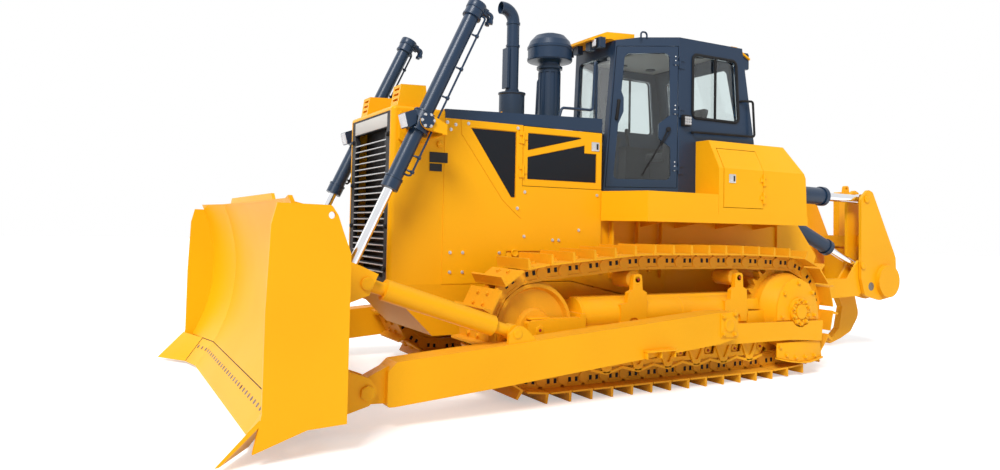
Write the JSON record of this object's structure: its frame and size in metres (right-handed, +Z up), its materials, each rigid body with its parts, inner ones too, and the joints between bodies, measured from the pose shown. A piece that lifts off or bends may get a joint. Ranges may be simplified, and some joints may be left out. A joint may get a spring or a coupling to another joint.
{
  "type": "bulldozer",
  "caption": "Crawler bulldozer with a concave semi-U blade on side push arms, a six-sided cab with roof visor, steel tracks and a single-shank rear ripper.",
  "frame": {"origin": "middle of the overall length and width, at the tips of the lowest track grousers, on the ground", "axes": "+X forward to the blade, +Y to the machine's left, +Z up"},
  "size_m": [8.8048, 4.13, 3.889],
  "materials": {
    "body_paint": "gloss",
    "dark_paint": "satin",
    "frame_paint": "satin",
    "track_paint": "worn",
    "wear_steel": "worn",
    "rod_chrome": "polished",
    "grille_metal": "satin",
    "core_metal": "matt",
    "window_glass": "clear",
    "lamp_glass": "clear lens",
    "seat_cloth": "woven",
    "cab_plastic": "grained"
  },
  "bodies": {
    "machine": {"tracks": "track_paint", "sprockets": "track_paint", "final_drives": "frame_paint", "idlers": "track_paint", "idler_carriers": "frame_paint", "track_rollers": "wear_steel", "track_frames": "frame_paint", "main_frame": "frame_paint", "belly_guard": "frame_paint", "radiator_guard": "body_paint", "grille": "grille_metal", "engine_block": "core_metal", "hood": "body_paint", "hood_strips": "dark_paint", "engine_side_panels": "body_paint", "exhaust_stack": "dark_paint", "air_precleaner": "dark_paint", "hose_guards": "body_paint", "fenders": "body_paint", "side_boxes": "body_paint", "fuel_tank": "body_paint", "cab_body": "dark_paint", "cab_glass": "window_glass", "cab_trim": "body_paint", "work_lamps": "lamp_glass", "cab_fittings": "cab_plastic", "operator_seat": "seat_cloth", "handrails": "dark_paint", "ripper_mount": "frame_paint"},
    "push_arms": {"push_arms": "frame_paint"},
    "blade": {"blade": "body_paint", "cutting_edges": "body_paint"},
    "brace_tubes": {"brace_tubes": "frame_paint"},
    "brace_rods": {"brace_rods": "wear_steel"},
    "lift_barrels": {"lift_barrels": "dark_paint", "head_lamps": "lamp_glass"},
    "lift_rods": {"lift_rods": "rod_chrome"},
    "cab_door_left": {"cab_door_left": "dark_paint", "door_glass_left": "window_glass"},
    "cab_door_right": {"cab_door_right": "dark_paint", "door_glass_right": "window_glass"},
    "engine_door_left": {"engine_door_left": "body_paint"},
    "engine_door_right": {"engine_door_right": "body_paint"},
    "box_door_left": {"box_door_left": "body_paint"},
    "box_door_right": {"box_door_right": "body_paint"},
    "ripper_link": {"ripper_link": "frame_paint"},
    "ripper_pins": {"ripper_pins": "wear_steel"},
    "ripper_carriage": {"ripper_carriage": "frame_paint", "ripper_shank": "frame_paint"},
    "ripper_lift_barrels": {"ripper_lift_barrels": "dark_paint"},
    "ripper_lift_rods": {"ripper_lift_rods": "rod_chrome"},
    "ripper_tilt_pins": {"ripper_tilt_pins": "wear_steel"},
    "ripper_tilt_barrels": {"ripper_tilt_barrels": "dark_paint"},
    "ripper_tilt_rods": {"ripper_tilt_rods": "rod_chrome"}
  },
  "joints": [
    {"name": "blade_lift", "type": "hinge", "parent": "machine", "child": "push_arms", "pos_m": [-0.258, 0, 0.625], "axis": [0, -1, 0], "range_deg": [-7.4, 16.7]},
    {"name": "blade_pitch", "type": "hinge", "parent": "push_arms", "child": "blade", "pos_m": [3.307, 0, 0.3], "axis": [0, -1, 0], "range_deg": [-5, 5]},
    {"name": "brace_swing", "type": "hinge", "parent": "push_arms", "child": "brace_tubes", "pos_m": [2.052, 0, 0.662], "axis": [0, -1, 0], "range_deg": [-1.1, 1.1]},
    {"name": "brace_screw", "type": "slide", "parent": "brace_tubes", "child": "brace_rods", "axis": [0.9495, 0, 0.3138], "range_m": [-0.066, 0.066]},
    {"name": "lift_cylinder_swing", "type": "hinge", "parent": "machine", "child": "lift_barrels", "pos_m": [2.611, 0, 2.411], "axis": [0, -1, 0], "range_deg": [-7.5, 16.8]},
    {"name": "lift_cylinder_slide", "type": "slide", "parent": "lift_barrels", "child": "lift_rods", "axis": [0.4247, 0, -0.9053], "range_m": [-0.99, 0.44]},
    {"name": "cab_door_left_hinge", "type": "hinge", "parent": "machine", "child": "cab_door_left", "pos_m": [-0.40101, 0.76, 2.74], "axis": [0, 0, 1], "range_deg": [0, 90]},
    {"name": "cab_door_right_hinge", "type": "hinge", "parent": "machine", "child": "cab_door_right", "pos_m": [-0.40101, -0.76, 2.74], "axis": [0, 0, -1], "range_deg": [0, 90]},
    {"name": "engine_door_left_hinge", "type": "hinge", "parent": "machine", "child": "engine_door_left", "pos_m": [1.439, 0.61, 2.21], "axis": [0, 0, -1], "range_deg": [0, 100]},
    {"name": "engine_door_right_hinge", "type": "hinge", "parent": "machine", "child": "engine_door_right", "pos_m": [1.439, -0.61, 2.21], "axis": [0, 0, 1], "range_deg": [0, 100]},
    {"name": "box_door_left_hinge", "type": "hinge", "parent": "machine", "child": "box_door_left", "pos_m": [-1.299, 1.11, 2.08], "axis": [0, 0, 1], "range_deg": [0, 100]},
    {"name": "box_door_right_hinge", "type": "hinge", "parent": "machine", "child": "box_door_right", "pos_m": [-1.299, -1.11, 2.08], "axis": [0, 0, -1], "range_deg": [0, 100]},
    {"name": "ripper_lift", "type": "hinge", "parent": "machine", "child": "ripper_link", "pos_m": [-2.548, 0, 0.8], "axis": [0, 1, 0], "range_deg": [-25, 13]},
    {"name": "ripper_level", "type": "hinge", "parent": "ripper_link", "child": "ripper_pins", "pos_m": [-3.875, 0, 0.844], "axis": [0, 1, 0], "range_deg": [-13.2, 25.2]},
    {"name": "ripper_tilt", "type": "hinge", "parent": "ripper_pins", "child": "ripper_carriage", "pos_m": [-3.875, 0, 0.844], "axis": [0, 1, 0], "range_deg": [-11, 16]},
    {"name": "ripper_lift_cylinder_swing", "type": "hinge", "parent": "machine", "child": "ripper_lift_barrels", "pos_m": [-2.308, 0, 1.7], "axis": [0, 1, 0], "range_deg": [-16, 9]},
    {"name": "ripper_lift_cylinder_slide", "type": "slide", "parent": "ripper_lift_barrels", "child": "ripper_lift_rods", "axis": [-0.9227, 0, -0.3856], "range_m": [-0.17, 0.32]},
    {"name": "ripper_tilt_cylinder_follow", "type": "hinge", "parent": "machine", "child": "ripper_tilt_pins", "pos_m": [-2.308, 0, 2.005], "axis": [0, 1, 0], "range_deg": [-23, 12.5]},
    {"name": "ripper_tilt_cylinder_swing", "type": "hinge", "parent": "ripper_tilt_pins", "child": "ripper_tilt_barrels", "pos_m": [-2.308, 0, 2.005], "axis": [0, 1, 0], "range_deg": [-4, 2.8]},
    {"name": "ripper_tilt_cylinder_slide", "type": "slide", "parent": "ripper_tilt_barrels", "child": "ripper_tilt_rods", "axis": [-0.9999, 0, -0.017], "range_m": [-0.32, 0.225]}
  ],
  "couplings": [
    {"joint": "lift_cylinder_swing", "follows": "blade_lift", "ratio": 0.9892},
    {"joint": "lift_cylinder_slide", "follows": "blade_lift", "m_per_rad": -3.363},
    {"joint": "brace_swing", "follows": "blade_pitch", "ratio": 0.1997},
    {"joint": "brace_screw", "follows": "blade_pitch", "m_per_rad": -0.7371},
    {"joint": "ripper_level", "follows": "ripper_lift", "ratio": -1},
    {"joint": "ripper_lift_cylinder_swing", "follows": "ripper_lift", "ratio": 0.6171},
    {"joint": "ripper_lift_cylinder_slide", "follows": "ripper_lift", "m_per_rad": -0.6989},
    {"joint": "ripper_tilt_cylinder_follow", "follows": "ripper_lift", "ratio": 0.9},
    {"joint": "ripper_tilt_cylinder_swing", "follows": "ripper_tilt", "ratio": -0.22},
    {"joint": "ripper_tilt_cylinder_slide", "follows": "ripper_tilt", "m_per_rad": -1.1}
  ]
}
